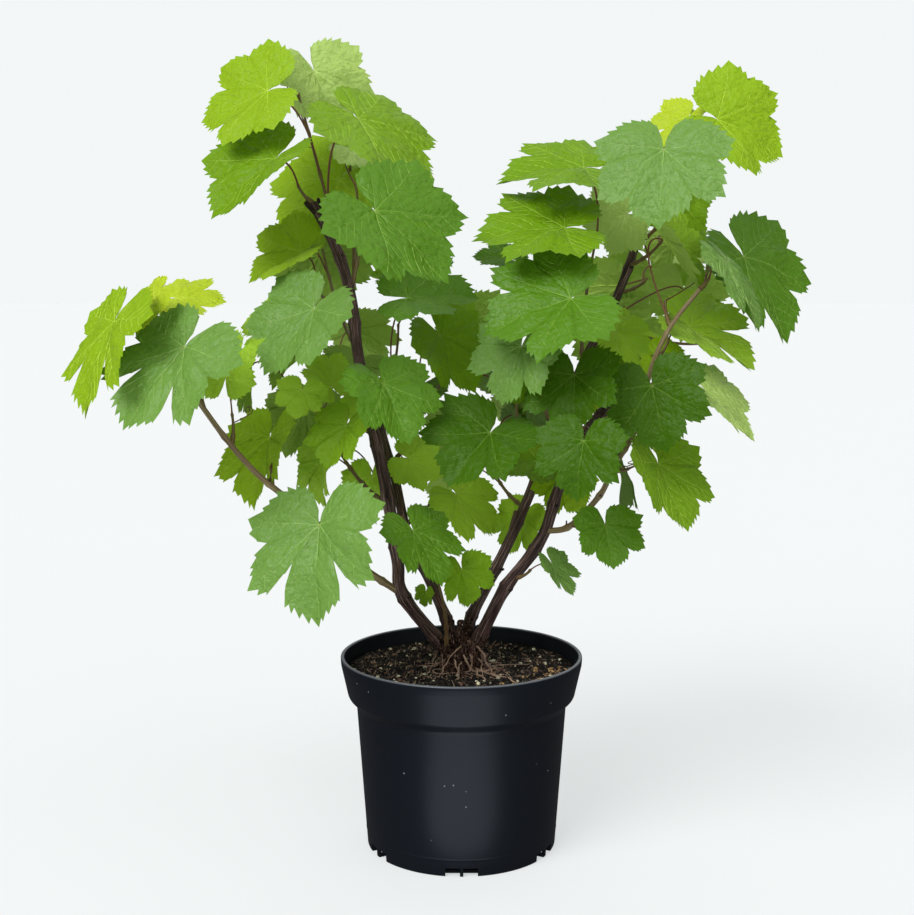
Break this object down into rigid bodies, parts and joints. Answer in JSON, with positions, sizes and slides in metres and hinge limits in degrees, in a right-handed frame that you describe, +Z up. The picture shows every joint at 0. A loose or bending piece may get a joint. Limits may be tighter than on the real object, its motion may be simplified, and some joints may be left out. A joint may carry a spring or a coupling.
{
  "type": "potted grapevine",
  "caption": "Young bushy grapevine with woody canes, side shoots and lobed toothed leaves, growing in a round tapered nursery pot of dark soil.",
  "frame": {"origin": "middle of the pot's flat underside, where it stands on the ground", "axes": "+Z up, -Y towards the front of the plant, +X to the right seen from the front"},
  "size_m": [0.6725, 0.3931, 0.7451],
  "materials": {
    "pot": "satin",
    "soil": "matt, crumbly",
    "bark": "rough bark",
    "side_shoots": "smooth young bark",
    "foliage": "satin leaf"
  },
  "bodies": {
    "root": {"pot": "pot", "soil": "soil", "stump": "bark", "left_front": "bark", "left_rear": "bark", "right_rear": "bark", "right_front": "bark", "left_lateral": "side_shoots", "right_shoot": "side_shoots", "mass_far_left": "foliage", "mass_lateral_back": "foliage", "mass_lateral_mid": "foliage", "mass_low_left": "foliage", "mass_left_inner": "foliage", "mass_left_shoulder": "foliage", "mass_top_left": "foliage", "mass_left_tip": "foliage", "mass_upper_left": "foliage", "mass_left_rear_top": "foliage", "mass_left_rear_mid": "foliage", "mass_left_centre": "foliage", "mass_centre_left": "foliage", "mass_low_centre": "foliage", "mass_basal": "foliage", "mass_low_back": "foliage", "mass_left_gap": "foliage", "mass_top_right": "foliage", "mass_right_shoulder": "foliage", "mass_right_end": "foliage", "mass_right_high": "foliage", "mass_right_mid": "foliage", "mass_right_drop": "foliage", "mass_right_low": "foliage", "mass_right_foot": "foliage", "mass_right_front_tip": "foliage", "mass_right_front_mid": "foliage", "mass_right_front_back": "foliage", "mass_right_front_low": "foliage", "mass_centre_high": "foliage", "mass_centre_back": "foliage", "mass_centre_rear_low": "foliage", "mass_centre_gap": "foliage", "mass_back_left_low": "foliage", "mass_back_left_mid": "foliage", "mass_back_left_high": "foliage", "mass_back_left_top": "foliage", "mass_back_centre_low": "foliage", "mass_back_centre": "foliage", "mass_back_right_low": "foliage", "mass_back_right_mid": "foliage", "mass_back_right_high": "foliage", "mass_back_right_top": "foliage", "mass_side_right": "foliage", "mass_side_left": "foliage"}
  },
  "joints": []
}
